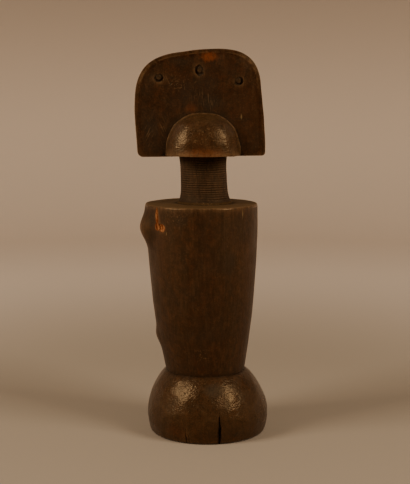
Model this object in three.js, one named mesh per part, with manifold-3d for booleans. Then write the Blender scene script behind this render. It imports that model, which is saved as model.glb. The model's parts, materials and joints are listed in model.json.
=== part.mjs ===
import * as THREE from 'three';
import { mergeVertices } from 'three/addons/utils/BufferGeometryUtils.js';
import Module from 'manifold-3d';

// A doll carved from one billet of wood: a round foot, a tapering body with two breasts and
// a navel but no arms or legs, a ringed neck, and a faceless head crossed by a flat crest.
// Millimetres, +Z up. The origin is the middle of the foot's flat underside. The chest faces
// -X, and the face of the crest that carries the stamped rings looks towards -Y.

// Driving dimensions
const crestTop = 220.2;
const crestBottom = 159.5;
const headBottom = 160.45;
const shoulder = 133.2;
const footTop = 36.9;

const foot = { flatRadius: 31.4, edge: 2.2, widest: 35, wallTop: 11.6, topRadius: 21.6, topX: -1.3 };
const footDome = { fullness: 1.64, roundness: 0.68, rows: 9, sides: 48 };
const torso = { bottom: 31, waistRadius: 22.9, rimRadius: 32, rimEdge: 1.2, axisX: -1.4, lean: -0.022 };
const torsoFacets = { sides: 54, towardsChest: 0.42, coarse: 7, navel: 3.6, breast: 2.9 };
const breast = { z: 120, spread: rad(17), proud: 4.7, halfHeight: 8.4, halfWidth: rad(12.5) };
const navel = { z: 56.2, proud: 1.7, halfHeight: 5.2, halfWidth: rad(15) };
const belly = { z: 74, proud: 0.6, halfHeight: 15, halfWidth: rad(38) };
const neck = { x: -1.6, lean: -0.04, radius: 13.15, flare: 2.6, flareHeight: 3.4, top: 161, sides: 30 };
const neckCap = { from: 151, widening: 0.007 };
const rings = { first: 136.2, pitch: 1.26, count: 18, depth: 0.3 };
const head = { x: -2.5, z: crestBottom, halfLength: 21.4, halfWidth: 19.4, height: 25, bluntness: 2.4 };
const headFacets = { around: 36, rows: 18 };
const crest = { front: -41.3, back: 32.7, halfThickness: 5, bevel: 1.7, frontCorner: 3.2, backCorner: 2 };
const stamp = { boss: 1.05, groove: 1.75, rim: 2.55, depth: 0.75, sides: 12 };
const stampPlaces = [[-27.5, 204], [-4.6, 208.2], [17.5, 202.2]];
const split = { azimuth: rad(-79), width: 1.7, tipWidth: 0.2, top: 19.5, depth: 3 };
const chips = [
  { azimuth: rad(-140.5), z: 127.6, width: 1.7, height: 11, depth: 0.8 },
  { azimuth: rad(-136.6), z: 121.2, width: 5.6, height: 4.8, depth: 0.9 },
];
// How far a cutter stands clear of the surface that it cuts
const clear = 0.6;

const woodColour = 0x3a1f0d;

function rad(degrees) {
  return THREE.MathUtils.degToRad(degrees);
}

const wasm = await Module();
wasm.setup();

// A closed geometry as a solid that can be joined and cut
function solidOf(geometry) {
  geometry.deleteAttribute('normal');
  geometry.deleteAttribute('uv');
  const merged = mergeVertices(geometry, 1e-4);
  const corners = merged.index.array;
  const triangles = [];
  for (let i = 0; i < corners.length; i += 3) {
    const [a, b, c] = corners.slice(i, i + 3);
    if (a !== b && b !== c && c !== a) triangles.push(a, b, c);
  }
  const vertProperties = new Float32Array(merged.attributes.position.array);
  const triVerts = new Uint32Array(triangles);
  return new wasm.Manifold(new wasm.Mesh({ numProp: 3, vertProperties, triVerts }));
}

function geometryOf(solid) {
  const mesh = solid.getMesh();
  const geometry = new THREE.BufferGeometry();
  geometry.setAttribute('position', new THREE.BufferAttribute(new Float32Array(mesh.vertProperties), 3));
  geometry.setIndex(new THREE.BufferAttribute(new Uint32Array(mesh.triVerts), 1));
  geometry.computeVertexNormals();
  return geometry;
}

// Turns a profile of [radius, height] pairs about the Z axis
function turned(profile, sides) {
  const points = profile.map(([radius, z]) => new THREE.Vector2(radius, z));
  return new THREE.LatheGeometry(points, sides).rotateX(Math.PI / 2);
}

// Moves every corner of a geometry to where place(x, y, z) says
function reshape(geometry, place) {
  const position = geometry.attributes.position;
  for (let i = 0; i < position.count; i += 1) {
    position.setXYZ(i, ...place(position.getX(i), position.getY(i), position.getZ(i)));
  }
  return geometry;
}

// A soft swelling of height 1, which has died away at one and a half half-widths
function swelling(across, up, shape) {
  return Math.exp(-((across / shape.halfWidth) ** 2) - (((up - shape.z) / shape.halfHeight) ** 2));
}

// Foot: flat below with a worn edge, a nearly upright wall, and a domed top that leans forward
function footSolid() {
  const profile = [[0, 0], [foot.flatRadius, 0]];
  for (const turn of [30, 60, 90]) {
    const angle = rad(turn);
    profile.push([foot.flatRadius + foot.edge * Math.sin(angle), foot.edge * (1 - Math.cos(angle))]);
  }
  profile.push([foot.widest - 0.4, foot.wallTop / 2]);
  for (let row = 0; row <= footDome.rows; row += 1) {
    const rise = row / footDome.rows;
    const bulge = (1 - rise ** footDome.fullness) ** footDome.roundness;
    profile.push([
      THREE.MathUtils.lerp(foot.topRadius, foot.widest, bulge),
      THREE.MathUtils.lerp(foot.wallTop, footTop, rise),
    ]);
  }
  profile.push([0, footTop]);
  const lean = (x, y, z) => [x + foot.topX * (z / footTop) ** 3, y, z];
  return solidOf(reshape(turned(profile, footDome.sides), lean));
}

function torsoRadius(z) {
  const down = (shoulder - z) / (shoulder - footTop);
  return torso.rimRadius - (torso.rimRadius - torso.waistRadius) * down ** 2;
}

function torsoAxisX(z) {
  return torso.axisX + torso.lean * (z - footTop);
}

// How far the carving stands proud of the round body, by angle from the chest and height
function chestRelief(fromChest, z) {
  const nearBreast = swelling(fromChest - breast.spread, z, breast);
  const farBreast = swelling(fromChest + breast.spread, z, breast);
  return breast.proud * (nearBreast + farBreast)
    + navel.proud * swelling(fromChest, z, navel)
    + belly.proud * swelling(fromChest, z, belly);
}

// Heights of the body's rows of facets, closest together at the navel and the breasts
function torsoLevels() {
  const navelTop = navel.z + navel.halfHeight * 2;
  const breastFoot = breast.z - breast.halfHeight * 1.7;
  const levels = [torso.bottom];
  for (let z = footTop; z < navelTop; z += torsoFacets.navel) levels.push(z);
  for (let z = navelTop + torsoFacets.coarse / 2; z < breastFoot; z += torsoFacets.coarse) levels.push(z);
  for (let z = breastFoot; z < shoulder - torso.rimEdge; z += torsoFacets.breast) levels.push(z);
  return levels;
}

// Body: an upturned cone with swelling sides, a flat shoulder with a worn rim, and the chest's relief
function torsoSolid() {
  const { rimRadius, rimEdge } = torso;
  const profile = [
    [0, torso.bottom],
    ...torsoLevels().map((z) => [torsoRadius(z), z]),
    [rimRadius, shoulder - rimEdge],
    [rimRadius - rimEdge * 0.3, shoulder - rimEdge * 0.3],
    [rimRadius - rimEdge, shoulder],
    [0, shoulder],
  ];
  return solidOf(reshape(turned(profile, torsoFacets.sides), (x, y, z) => {
    const even = Math.atan2(y, -x);
    const fromChest = even - torsoFacets.towardsChest * Math.sin(even);
    const round = Math.hypot(x, y);
    const radius = round > 0 ? round + chestRelief(fromChest, z) : 0;
    return [torsoAxisX(z) - radius * Math.cos(fromChest), radius * Math.sin(fromChest), z];
  }));
}

function neckRadius(z) {
  const flare = neck.flare * Math.exp((shoulder - z) / neck.flareHeight);
  return neck.radius + flare + neckCap.widening * Math.max(0, z - neckCap.from) ** 2;
}

// Neck: a waisted post that flares into the shoulder, cut round with a close stack of grooves
function neckSolid() {
  const root = shoulder - 2;
  const profile = [[0, root]];
  for (const z of [root, shoulder, shoulder + 1.3]) profile.push([neckRadius(Math.max(z, shoulder)), z]);
  for (let ring = 0; ring < rings.count; ring += 1) {
    const z = rings.first + rings.pitch * ring;
    profile.push([neckRadius(z), z - rings.pitch / 2]);
    profile.push([neckRadius(z) - rings.depth, z]);
  }
  const lastRidge = rings.first + rings.pitch * (rings.count - 0.5);
  profile.push([neckRadius(lastRidge), lastRidge], [neckRadius(neck.top), neck.top], [0, neck.top]);
  const lean = (x, y, z) => [x + neck.x + neck.lean * (z - shoulder), y, z];
  return solidOf(reshape(turned(profile, neck.sides), lean));
}

// Head: the upper half of a blunt egg, cut off flat below
function headSolid() {
  const egg = reshape(new THREE.SphereGeometry(1, headFacets.around, headFacets.rows), (x, y, z) => {
    const power = head.bluntness;
    const reach = (Math.abs(x) ** power + Math.abs(y) ** power + Math.abs(z) ** power) ** (-1 / power);
    return [
      head.x + head.halfLength * reach * x,
      head.halfWidth * reach * y,
      head.z + head.height * reach * z,
    ];
  });
  const block = new THREE.BoxGeometry(100, 100, 100).translate(0, 0, headBottom - 50);
  return solidOf(egg).subtract(solidOf(block));
}

// Crest: a flat plate from front to back, square below and round at both upper corners
function crestOutline() {
  const outline = new THREE.Shape();
  const frontFoot = crest.front + 1.4;
  const { frontCorner, backCorner } = crest;
  const backBottom = crestBottom + 0.8;
  outline.moveTo(frontFoot + frontCorner, crestBottom);
  outline.absarc(crest.back - backCorner, backBottom + backCorner, backCorner, rad(-90), 0);
  outline.bezierCurveTo(crest.back, 176, 31.2, 188, 30, 200.3);
  outline.bezierCurveTo(28.6, 219.6, 14.5, crestTop, 3.9, crestTop);
  outline.bezierCurveTo(-3, crestTop, -8.5, 219.4, -14.2, 218.5);
  outline.bezierCurveTo(-39.6, 216, -41.2, 202.5, crest.front, 186.8);
  outline.bezierCurveTo(crest.front + 0.1, 178, frontFoot - 0.3, 170, frontFoot, crestBottom + frontCorner);
  outline.absarc(frontFoot + frontCorner, crestBottom + frontCorner, frontCorner, rad(180), rad(270));
  return outline;
}

function crestSolid() {
  const depth = 2 * (crest.halfThickness - crest.bevel);
  const plate = new THREE.ExtrudeGeometry(crestOutline(), {
    depth,
    curveSegments: 9,
    bevelThickness: crest.bevel,
    bevelSize: crest.bevel,
    bevelOffset: -crest.bevel,
    bevelSegments: 2,
  });
  return solidOf(plate.translate(0, 0, -depth / 2).rotateX(Math.PI / 2));
}

// Cutter for one stamped mark: a ring-shaped groove round a small boss
function stampCutter([x, z]) {
  const slope = (stamp.rim - stamp.groove) / stamp.depth;
  const section = [
    [stamp.groove, stamp.depth],
    [stamp.boss - clear * slope, -clear],
    [stamp.rim + clear * slope, -clear],
    [stamp.groove, stamp.depth],
  ].map(([radius, y]) => new THREE.Vector2(radius, y));
  const groove = new THREE.LatheGeometry(section, stamp.sides);
  return solidOf(groove.translate(x, -crest.halfThickness, z));
}

// Cutter for the drying split that opens at the foot's lower edge
function splitCutter() {
  const wedge = new THREE.Shape();
  wedge.moveTo(-split.width / 2, -clear);
  wedge.lineTo(split.width / 2, -clear);
  wedge.lineTo(split.tipWidth / 2, split.top);
  wedge.lineTo(-split.tipWidth / 2, split.top);
  wedge.closePath();
  const blade = new THREE.ExtrudeGeometry(wedge, { depth: foot.widest, bevelEnabled: false });
  blade.rotateX(Math.PI / 2).translate(0, split.depth - foot.widest, 0);
  return solidOf(blade.rotateZ(split.azimuth + Math.PI / 2));
}

// Cutter for a place where the wood has flaked off the body
function chipCutter(chip) {
  const radius = torsoRadius(chip.z) + chestRelief(chip.azimuth + Math.PI, chip.z);
  const lens = new THREE.SphereGeometry(1, 10, 8).scale(chip.depth * 2, chip.width / 2, chip.height / 2);
  lens.translate(radius + chip.depth, 0, 0).rotateZ(chip.azimuth);
  return solidOf(lens.translate(torsoAxisX(chip.z), 0, chip.z));
}

const joined = [torsoSolid(), neckSolid(), headSolid(), crestSolid()]
  .reduce((whole, piece) => whole.add(piece), footSolid());
const cutters = [...stampPlaces.map(stampCutter), splitCutter(), ...chips.map(chipCutter)];
const carved = cutters.reduce((whole, cutter) => whole.subtract(cutter), joined);

const wood = new THREE.MeshStandardMaterial({ color: woodColour, roughness: 0.5, metalness: 0 });
wood.flatShading = true;
const figure = new THREE.Mesh(geometryOf(carved), wood);
figure.name = 'carved_figure';

const doll = new THREE.Group();
doll.add(figure);

export default doll;
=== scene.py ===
"""A carved wooden doll with a flat crest and no limbs, shaped in Blender and set on a plain stage.

The figure is one piece of dark, handled wood. Its forms are turned, cut and joined here in the
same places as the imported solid, and its finish is worked out from its own shape.
"""

import json
import math

import bpy
import numpy as np
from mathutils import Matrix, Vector, noise

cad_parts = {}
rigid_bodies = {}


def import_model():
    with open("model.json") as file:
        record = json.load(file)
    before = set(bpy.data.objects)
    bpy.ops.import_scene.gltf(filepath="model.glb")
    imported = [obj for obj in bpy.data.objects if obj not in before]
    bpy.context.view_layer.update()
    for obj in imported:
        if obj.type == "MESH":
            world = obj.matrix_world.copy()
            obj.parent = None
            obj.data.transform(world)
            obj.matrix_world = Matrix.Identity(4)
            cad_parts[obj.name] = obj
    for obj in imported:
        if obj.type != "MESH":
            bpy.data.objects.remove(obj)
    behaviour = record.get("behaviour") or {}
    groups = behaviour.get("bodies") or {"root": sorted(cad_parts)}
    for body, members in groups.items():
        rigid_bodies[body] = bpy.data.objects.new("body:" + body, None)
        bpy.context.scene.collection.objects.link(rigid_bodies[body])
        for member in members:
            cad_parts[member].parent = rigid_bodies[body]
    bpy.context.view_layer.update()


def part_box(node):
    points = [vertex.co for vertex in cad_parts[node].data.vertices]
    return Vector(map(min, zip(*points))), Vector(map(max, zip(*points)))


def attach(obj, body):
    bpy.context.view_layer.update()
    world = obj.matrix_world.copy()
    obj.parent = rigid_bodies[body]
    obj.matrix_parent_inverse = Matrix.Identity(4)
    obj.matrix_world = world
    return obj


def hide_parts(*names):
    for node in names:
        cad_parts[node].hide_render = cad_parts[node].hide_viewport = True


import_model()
LOW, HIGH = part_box("carved_figure")
MM = 0.001
PANEL_TAB = "Carved Doll"

bl_info = {
    "name": "Carved wooden doll",
    "version": (1, 0, 0),
    "blender": (4, 5, 0),
    "location": "View3D > Sidebar > Carved Doll",
    "description": "Carves a limbless wooden doll with a flat crest and sets it on a plain stage",
    "category": "Add Mesh",
}


# Settings that a user would change

def length(name, description, default):
    """A size in metres, shown in the sidebar."""
    return bpy.props.FloatProperty(
        name=name, description=description, default=default, precision=5, subtype="DISTANCE", unit="LENGTH"
    )


def angle(name, description, degrees):
    """An angle, given in degrees and kept in radians."""
    return bpy.props.FloatProperty(
        name=name, description=description, default=math.radians(degrees), subtype="ANGLE", unit="ROTATION"
    )


def amount(name, description, default):
    """A plain number without a unit."""
    return bpy.props.FloatProperty(name=name, description=description, default=default, precision=3)


def colour(name, description, default):
    """A linear colour without alpha."""
    return bpy.props.FloatVectorProperty(
        name=name, description=description, default=default, size=3, min=0, max=1, subtype="COLOR"
    )


class FigureSizes(bpy.types.PropertyGroup):
    """Sizes of the doll's forms."""

    foot_height: length("Foot height", "Underside to the top of the foot's dome", 0.0369)
    foot_flat: length("Flat of the foot", "Radius of the flat underside", 0.0314)
    foot_edge: length("Foot edge", "Radius of the worn edge round the underside", 0.0022)
    foot_radius: length("Foot radius", "Radius of the foot where it is widest", HIGH.y)
    foot_wall: length("Foot wall", "Height at which the foot is widest", 0.0116)
    foot_top: length("Foot top", "Radius at the top of the foot's dome", 0.0216)
    foot_lean: length("Foot lean", "How far the foot's top sits from the middle, towards the back", -0.0013)
    shoulder: length("Shoulder height", "Height of the flat shoulder", 0.1332)
    shoulder_radius: length("Shoulder radius", "Radius of the shoulder's rim", 0.032)
    waist_radius: length("Waist radius", "Radius of the body at the foot", 0.0229)
    rim_edge: length("Shoulder rim", "Radius of the worn rim of the shoulder", 0.0012)
    body_x: length("Body position", "Where the body's axis meets the foot's top", -0.0014)
    body_lean: amount("Body lean", "Run of the body's axis towards the chest for each unit of height", -0.022)
    breast_height: length("Breast height", "Height of the middle of the breasts", 0.120)
    breast_spread: angle("Breast spread", "Angle of each breast from the middle of the chest", 17)
    breast_proud: length("Breast depth", "How far each breast stands proud", 0.0047)
    navel_height: length("Navel height", "Height of the navel", 0.0562)
    navel_proud: length("Navel depth", "How far the navel stands proud", 0.0017)
    neck_radius: length("Neck radius", "Radius of the neck at its waist", 0.01315)
    neck_x: length("Neck position", "Where the neck's axis meets the shoulder", -0.0016)
    neck_lean: amount("Neck lean", "Run of the neck's axis towards the chest for each unit of height", -0.04)
    ring_pitch: length("Ring pitch", "Distance between the lines cut round the neck", 0.00126)
    ring_depth: length("Ring depth", "Depth of the lines cut round the neck", 0.00018)
    head_bottom: length("Crest underside", "Height of the crest's lowest edge, at the front", 0.1595)
    dome_bottom: length("Dome underside", "Height of the flat underside of the head's dome", 0.16045)
    head_x: length("Head position", "Where the middle of the head lies, front to back", -0.0025)
    head_length: length("Head half length", "Half the head's size from front to back", 0.0214)
    head_width: length("Head half width", "Half the head's size from side to side", 0.0194)
    head_height: length("Head height", "Height of the head above its underside", 0.025)
    crest_top: length("Crest top", "Height of the crest's highest point", HIGH.z)
    crest_front: length("Crest front", "Front limit of the crest", LOW.x)
    crest_back: length("Crest back", "Back limit of the crest", 0.0327)
    crest_half: length("Crest half thickness", "Half the crest's thickness", 0.005)
    crest_edge: length("Crest edge", "Width of the bevel round the crest", 0.0020)


class FigureColours(bpy.types.PropertyGroup):
    """Colours of the wood and of what years of handling left on it."""

    brown: colour("Brown wood", "Body colour of the stained wood", (0.0205, 0.0076, 0.0030))
    red: colour("Red wood", "Warmer wood where the stain is rubbed thin", (0.038, 0.0108, 0.0027))
    soot: colour("Soot", "Darkest stain, in patches and along the grain", (0.0080, 0.0052, 0.0033))
    wax: colour("Old wax", "Dull olive film on the shoulder, the head and the foot", (0.066, 0.031, 0.0095))
    film: colour("Grey film", "Greyish film that dulls some patches", (0.0150, 0.0098, 0.0064))
    # This pale colour serves for dusty cut lines and worn ridges, and also for painted highlights on the
    # crest's rim and the head's lip.
    dust_and_highlight: colour("Dust", "Pale dust in cut lines and on worn ridges", (0.21, 0.110, 0.045))
    rubbed: colour("Rubbed wood", "Orange red where the stain is rubbed away", (0.135, 0.030, 0.006))
    disc: colour("Shoulder", "Dull olive film on the flat shoulder", (0.088, 0.042, 0.0125))
    scratch: colour("Scratches", "Pale fibres in scratches", (0.26, 0.16, 0.06))
    bare: colour("Bare wood", "Fresh orange wood where it has flaked off", (0.40, 0.165, 0.055))
    gloss: amount("Handling gloss", "Roughness of the head, the foot and the rims, rubbed most", 0.245)
    matt: amount("Matt wood", "Roughness of the body and the crest's faces", 0.42)


class StageSettings(bpy.types.PropertyGroup):
    """The plain floor, the lights and the camera."""

    # The backdrop's colours paint light and shade: darker near the figure, above it and on the camera's side,
    # lighter further off.
    floor: colour("Floor", "Colour of the floor near the figure", (0.47, 0.365, 0.255))
    wall: colour("Backdrop", "Colour of the floor further off, where it curves up", (0.97, 0.78, 0.59))
    top: colour("Backdrop top", "Colour of the backdrop above the figure's head", (0.53, 0.42, 0.32))
    front: colour("Backdrop front", "Colour of the backdrop behind the camera", (0.40, 0.31, 0.22))
    light: colour("Light", "Colour of the soft lights", (1.0, 0.90, 0.78))
    power: amount("Power", "Power of each soft light in watts", 7.0)
    fill: amount("Fill", "Strength of the even light from above", 0.13)
    camera_x: length("Camera across", "Camera's place from front to back of the doll", -0.001494)
    camera_y: length("Camera distance", "Camera's distance from the middle of the foot", 0.651144)
    camera_z: length("Camera height", "Camera's height above the floor", 0.198155)
    camera_down: bpy.props.FloatProperty(
        name="Camera tilt", description="How far the camera looks down", default=0.134, subtype="ANGLE"
    )
    lens: bpy.props.FloatProperty(name="Lens", description="Focal length in millimetres", default=84.82)


# Small tools of the trade

def settings():
    """The scene's sizes, colours and stage settings."""
    scene = bpy.context.scene
    return scene.doll_sizes, scene.doll_colours, scene.doll_stage


def pick(form):
    """Makes one object the only selected and active one."""
    bpy.ops.object.select_all(action="DESELECT")
    form.select_set(True)
    bpy.context.view_layer.objects.active = form


def edit(form):
    """Opens an object's mesh with everything in it selected."""
    pick(form)
    bpy.ops.object.mode_set(mode="EDIT")
    bpy.ops.mesh.select_all(action="SELECT")


def close_edit():
    bpy.ops.object.mode_set(mode="OBJECT")


def new_form(name):
    """Names the primitive that was just added and puts its place into its mesh."""
    form = bpy.context.object
    form.name = name
    form.data.name = name
    bpy.ops.object.transform_apply(location=True, rotation=True, scale=True)
    return form


def move_points(form, place):
    """Moves every point of a mesh to where place(point) says."""
    for corner in form.data.vertices:
        corner.co = place(corner.co)
    form.data.update()


def turned(name, profile, steps):
    """A point is pulled along a profile of (radius, height) pairs, and the line is spun about Z."""
    bpy.ops.object.select_all(action="DESELECT")
    bpy.ops.mesh.primitive_plane_add(size=MM)
    form = new_form(name)
    edit(form)
    bpy.ops.mesh.merge(type="CENTER")
    bpy.ops.transform.translate(value=(profile[0][0], 0, profile[0][1]))
    for (radius, z), (next_radius, next_z) in zip(profile, profile[1:]):
        step = (next_radius - radius, 0, next_z - z)
        bpy.ops.mesh.extrude_region_move(TRANSFORM_OT_translate={"value": step})
    bpy.ops.mesh.select_all(action="SELECT")
    bpy.ops.mesh.spin(steps=steps, angle=math.tau, center=(0, 0, 0), axis=(0, 0, 1))
    bpy.ops.mesh.select_all(action="SELECT")
    bpy.ops.mesh.remove_doubles(threshold=0.01 * MM)
    bpy.ops.mesh.normals_make_consistent(inside=False)
    close_edit()
    return form


def combine(base, tool, operation):
    """Joins a closed form to another, or cuts it out, and uses it up."""
    change = base.modifiers.new(operation.title(), "BOOLEAN")
    change.operation = operation
    change.solver = "MANIFOLD"
    change.object = tool
    pick(base)
    bpy.ops.object.modifier_apply(modifier=change.name)
    used = tool.data
    bpy.data.objects.remove(tool)
    bpy.data.meshes.remove(used)


def steps(start, end, size):
    """Even steps from start to end, about the given size apart, both ends included."""
    return list(np.linspace(start, end, max(2, round(abs(end - start) / size) + 1)))


# Marks that a knife and years of handling leave, all in metres

def wander(point, reach, seed=0):
    """Smooth unevenness, about -1 to 1, that changes over the distance reach along each axis."""
    return noise.noise(Vector((point.x / reach[0] + seed, point.y / reach[1] - seed, point.z / reach[2])))


def knife_cuts(point, size, seed=0):
    """Shallow cuts side by side: 1 in the middle of each cut and 0 on the ridges between them."""
    place = Vector((point.x / size[0] + seed, point.y / size[1], point.z / size[2] - seed))
    nearest = noise.voronoi(place)[0][0]
    return max(0.0, 1 - (nearest * 1.35) ** 2)


def carved_in(point, broad, broad_depth, small, small_depth, seed=0):
    """How far the carved surface lies under the true form: broad cuts, small cuts and slow waves."""
    slow = wander(point, (0.021, 0.021, 0.03), seed)
    deep = broad_depth * knife_cuts(point, broad, seed) + small_depth * knife_cuts(point, small, seed + 1)
    return 0.10 * MM * slow + deep - 0.5 * (broad_depth + small_depth)


# Foot

def foot_radius(sizes, z):
    rise = (z - sizes.foot_wall) / (sizes.foot_height - sizes.foot_wall)
    bulge = (1 - min(1.0, rise) ** 1.64) ** 0.68
    return sizes.foot_top + (sizes.foot_radius - sizes.foot_top) * bulge


def foot_form(sizes):
    """A domed foot with a flat underside, cut all over with small scoops of the knife."""
    flat, edge = sizes.foot_flat, sizes.foot_edge
    profile = [(radius, 0) for radius in steps(0, flat, 2.4 * MM)]
    for turn in steps(math.radians(20), math.radians(90), math.radians(14)):
        profile.append((flat + edge * math.sin(turn), edge * (1 - math.cos(turn))))
    wall_foot = flat + edge
    for z in steps(edge, sizes.foot_wall, 0.9 * MM)[1:-1]:
        rise = (z - edge) / (sizes.foot_wall - edge)
        profile.append((wall_foot + (sizes.foot_radius - wall_foot) * math.sin(rise * math.pi / 2), z))
    for z in steps(sizes.foot_wall, sizes.foot_height, 0.55 * MM):
        profile.append((foot_radius(sizes, z), z))
    profile.append((0, sizes.foot_height))
    foot = turned("foot", profile, 230)

    def carve(point):
        radius = math.hypot(point.x, point.y)
        grown = max(0.0, min(1.0, point.z / (3 * MM)))
        depth = grown * carved_in(
            point, (0.0105, 0.0105, 0.0095), 0.42 * MM, (0.004, 0.004, 0.0033), 0.10 * MM, 3
        )
        keep = min(radius - depth, sizes.foot_radius - 0.05 * MM) / max(radius, MM)
        lean = sizes.foot_lean * (point.z / sizes.foot_height) ** 3
        return Vector((point.x * keep + lean, point.y * keep, point.z))

    move_points(foot, carve)
    return foot


# Body

def body_radius(sizes, z):
    down = (sizes.shoulder - z) / (sizes.shoulder - sizes.foot_height)
    return sizes.shoulder_radius - (sizes.shoulder_radius - sizes.waist_radius) * down**2


def body_axis(sizes, z):
    return sizes.body_x + sizes.body_lean * (z - sizes.foot_height)


def swelling(across, half_width, up, half_height):
    """A soft swelling of height 1."""
    return math.exp(-((across / half_width) ** 2) - (up / half_height) ** 2)


def chest_relief(sizes, from_chest, z):
    """How far breasts, navel and belly stand proud, by angle from the chest and height."""
    breasts = sum(
        swelling(
            from_chest + side * sizes.breast_spread, math.radians(12.5), z - sizes.breast_height, 8.4 * MM
        )
        for side in (-1, 1)
    )
    navel = swelling(from_chest, math.radians(15), z - sizes.navel_height, 5.2 * MM)
    belly = swelling(from_chest, math.radians(38), z - 74 * MM, 15 * MM)
    return sizes.breast_proud * breasts + sizes.navel_proud * navel + 0.6 * MM * belly


def body_form(sizes):
    """A swelling cone with a flat shoulder, pared down along the grain."""
    rim, edge, top = sizes.shoulder_radius, sizes.rim_edge, sizes.shoulder
    start = sizes.foot_height - 6 * MM
    profile = [(0, start)]
    profile += [(body_radius(sizes, z), z) for z in steps(start, top - edge, 0.85 * MM)]
    for turn in steps(math.radians(22), math.radians(90), math.radians(22)):
        profile.append((rim - edge * (1 - math.cos(turn)), top - edge * (1 - math.sin(turn))))
    profile += [(radius, top) for radius in steps(rim - edge, 0, 0.9 * MM)[1:]]
    body = turned("body", profile, 216)

    def carve(point):
        from_chest = math.atan2(point.y, -point.x)
        radius = math.hypot(point.x, point.y)
        round_body = max(0.0, min(1.0, (top - point.z) / (1.5 * MM)))
        if radius < 0.7 * sizes.waist_radius:
            round_body = 0
        depth = round_body * carved_in(
            point, (0.013, 0.013, 0.03), 0.22 * MM, (0.006, 0.006, 0.013), 0.09 * MM, 7
        )
        depth += round_body * 0.05 * MM * wander(point, (0.0017, 0.0017, 0.03), 5)
        on_shoulder = point.z > top - 0.2 * MM
        z = point.z
        if on_shoulder:
            z -= 0.12 * MM * (1 + wander(point, (0.006, 0.006, 0.006), 2))
        swell = chest_relief(sizes, from_chest, point.z) * min(1.0, radius / sizes.waist_radius) ** 2
        radius = radius + swell - depth
        x = body_axis(sizes, point.z) - radius * math.cos(from_chest)
        return Vector((x, radius * math.sin(from_chest), z))

    move_points(body, carve)
    return body


# Neck

def neck_radius(sizes, z):
    flare = 2.6 * MM * math.exp((sizes.shoulder - z) / (3.4 * MM))
    widening = 7.0 * max(0.0, z - 0.151) ** 2
    return sizes.neck_radius + flare + widening


def neck_form(sizes):
    """A waisted post cut round with a close stack of hand-cut lines."""
    top = sizes.head_bottom + 1.5 * MM
    root = sizes.shoulder - 2 * MM
    first_ring = sizes.shoulder + 2.4 * MM
    profile = [(0, root)]
    profile += [(neck_radius(sizes, max(z, sizes.shoulder)), z) for z in steps(root, first_ring, 0.7 * MM)]
    profile += [(neck_radius(sizes, z), z) for z in steps(first_ring, top, sizes.ring_pitch / 6)[1:]]
    profile.append((0, top))
    neck = turned("neck", profile, 116)

    def carve(point):
        radius = math.hypot(point.x, point.y)
        drift = 0.33 * MM * wander(point, (0.010, 0.010, 0.008), 4)
        phase = ((point.z + drift - first_ring) / sizes.ring_pitch) % 1.0
        groove = max(0.0, 1 - abs(phase - 0.5) / 0.27)
        strength = max(0.15, 0.7 + 1.3 * wander(point, (0.008, 0.008, 0.0035), 9))
        within = first_ring < point.z < sizes.head_bottom - 0.8 * MM
        depth = sizes.ring_depth * strength * groove if within else 0.0
        depth += 0.1 * MM * wander(point, (0.009, 0.009, 0.012), 6)
        keep = 1 - depth / max(radius, MM)
        lean = sizes.neck_x + sizes.neck_lean * (point.z - sizes.shoulder)
        return Vector((point.x * keep + lean, point.y * keep, point.z))

    move_points(neck, carve)
    return neck


# Head

def head_form(sizes):
    """The upper half of a blunt egg, with a lip where it meets the crest."""
    bpy.ops.object.select_all(action="DESELECT")
    bpy.ops.mesh.primitive_uv_sphere_add(segments=132, ring_count=84, radius=1)
    head = new_form("head")
    bluntness = 2.4

    def shape(point):
        reach = sum(abs(part) ** bluntness for part in point) ** (-1 / bluntness)
        place = Vector((
            sizes.head_x + sizes.head_length * reach * point.x,
            sizes.head_width * reach * point.y,
            sizes.head_bottom + sizes.head_height * reach * point.z,
        ))
        depth = carved_in(place, (0.0085, 0.0085, 0.0075), 0.36 * MM, (0.0036, 0.0036, 0.003), 0.10 * MM, 11)
        from_crest = (abs(place.y) - sizes.crest_half) / MM
        lip = (
            0.42 * math.exp(-((from_crest / 0.9) ** 2))
            - 0.22 * math.exp(-(((from_crest - 2.1) / 0.8) ** 2))
        )
        middle = Vector((sizes.head_x, 0, sizes.head_bottom))
        return place - (place - middle).normalized() * (depth - lip * MM)

    move_points(head, shape)
    edit(head)
    bottom = (0, 0, sizes.dome_bottom)
    bpy.ops.mesh.bisect(plane_co=bottom, plane_no=(0, 0, 1), use_fill=True, clear_inner=True)
    for inset in (0.5, 1.2, 2.0, 2.5):
        bpy.ops.mesh.inset(thickness=inset * MM)
    close_edit()
    return head


# Crest

def curve(start, first_pull, second_pull, end, count):
    """Points along a cubic curve, without its start."""
    made = []
    for share in np.linspace(0, 1, count + 1)[1:]:
        rest = 1 - share
        weights = (rest**3, 3 * rest**2 * share, 3 * rest * share**2, share**3)
        corners = (start, first_pull, second_pull, end)
        made.append(tuple(sum(w * c[axis] for w, c in zip(weights, corners)) for axis in (0, 1)))
    return made


def corner(middle, radius, first, last, count):
    """Points round a corner's arc, from one angle to another in degrees."""
    turns = np.radians(np.linspace(first, last, count + 1))
    return [(middle[0] + radius * math.cos(turn), middle[1] + radius * math.sin(turn)) for turn in turns]


def straight(start, end, size):
    """Points along a straight edge, without its ends."""
    count = max(1, round(math.dist(start, end) / size))
    return [tuple(np.array(start) + (np.array(end) - np.array(start)) * i / count) for i in range(1, count)]


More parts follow.
